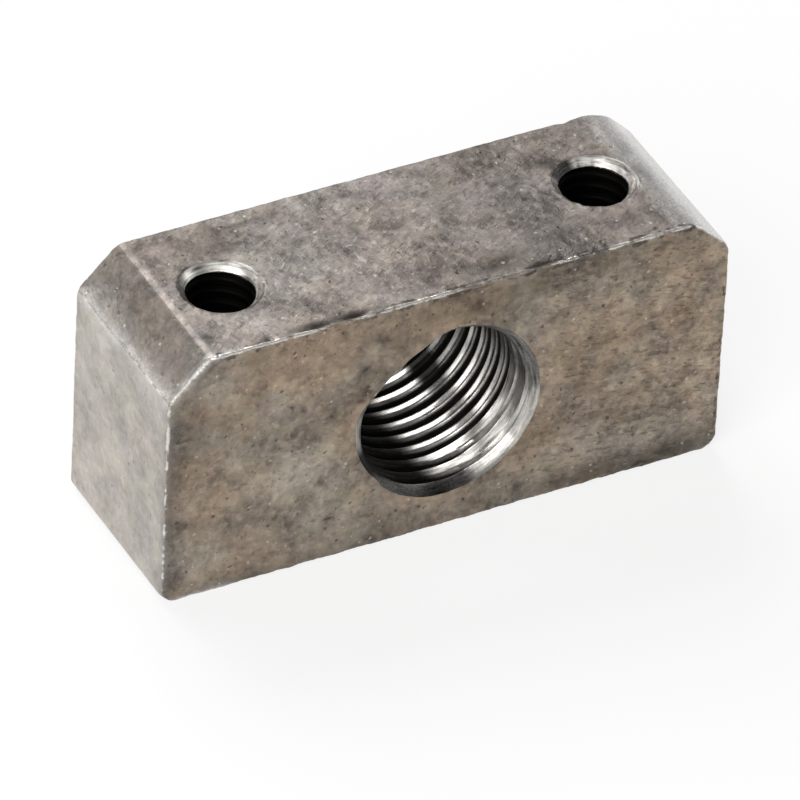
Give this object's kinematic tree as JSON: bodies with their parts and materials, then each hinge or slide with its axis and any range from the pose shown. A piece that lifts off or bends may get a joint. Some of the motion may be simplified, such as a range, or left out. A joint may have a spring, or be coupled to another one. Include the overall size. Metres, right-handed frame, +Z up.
{
  "type": "lead screw nut",
  "caption": "One-piece steel nut block for a lathe cross slide: a threaded bore for the lead screw and tapped holes that bolt it under the slide.",
  "frame": {"origin": "middle of the bottom face", "axes": "+X along the block, across the lead screw; +Y along the lead screw, away from the front face; +Z up, towards the face that seats on the slide"},
  "size_m": [0.03, 0.0098, 0.0141],
  "materials": {
    "block_steel": "satin"
  },
  "bodies": {
    "root": {"nut_block": "block_steel"}
  },
  "joints": []
}
